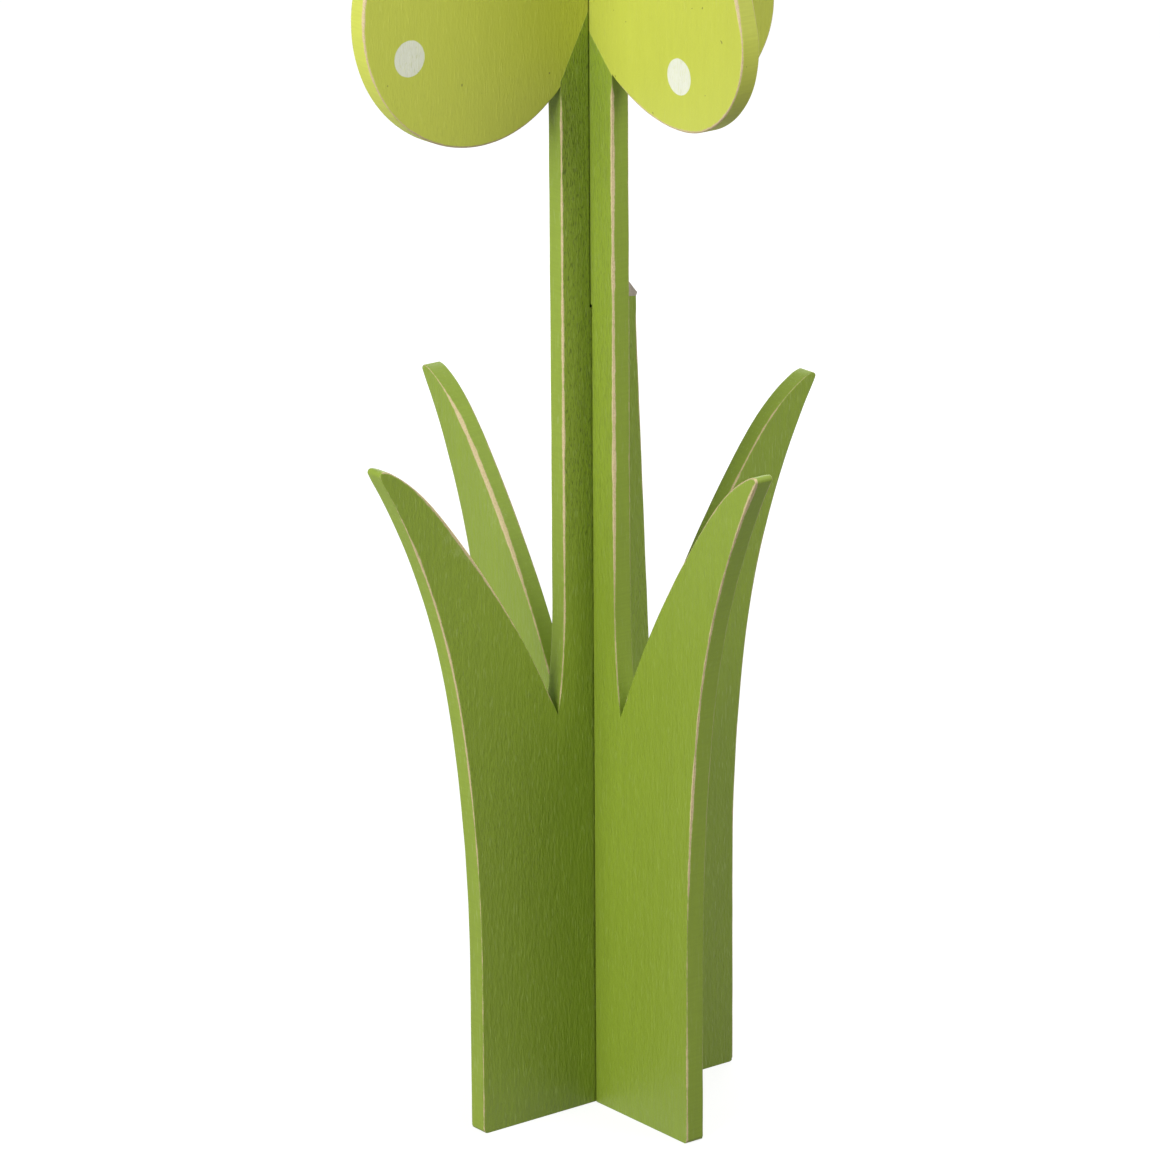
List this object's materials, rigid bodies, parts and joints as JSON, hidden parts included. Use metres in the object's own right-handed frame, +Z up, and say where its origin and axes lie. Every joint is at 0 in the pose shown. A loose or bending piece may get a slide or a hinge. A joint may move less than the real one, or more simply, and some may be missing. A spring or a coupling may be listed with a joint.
{
  "type": "slotted wooden tulip ornament",
  "caption": "Floor-standing tulip ornament of flat painted wooden boards that slot together crosswise, with curved leaves as feet, a straight stem and a bloom of round lobes.",
  "frame": {"origin": "on the floor plane, at the line where the two boards cross", "axes": "+Z up; the board slotted from the top runs along X with its front wing at -X; the board slotted from the bottom runs along Y with its front wing at -Y"},
  "size_m": [0.3174, 0.3066, 0.955],
  "materials": {
    "painted_wood": "satin"
  },
  "bodies": {
    "standing_board": {"top_slot_board": "painted_wood"},
    "lifting_board": {"bottom_slot_board": "painted_wood"}
  },
  "joints": [
    {"name": "lift_apart", "type": "slide", "parent": "standing_board", "child": "lifting_board", "axis": [0, 0, 1], "range_m": [0, 0.96]}
  ]
}
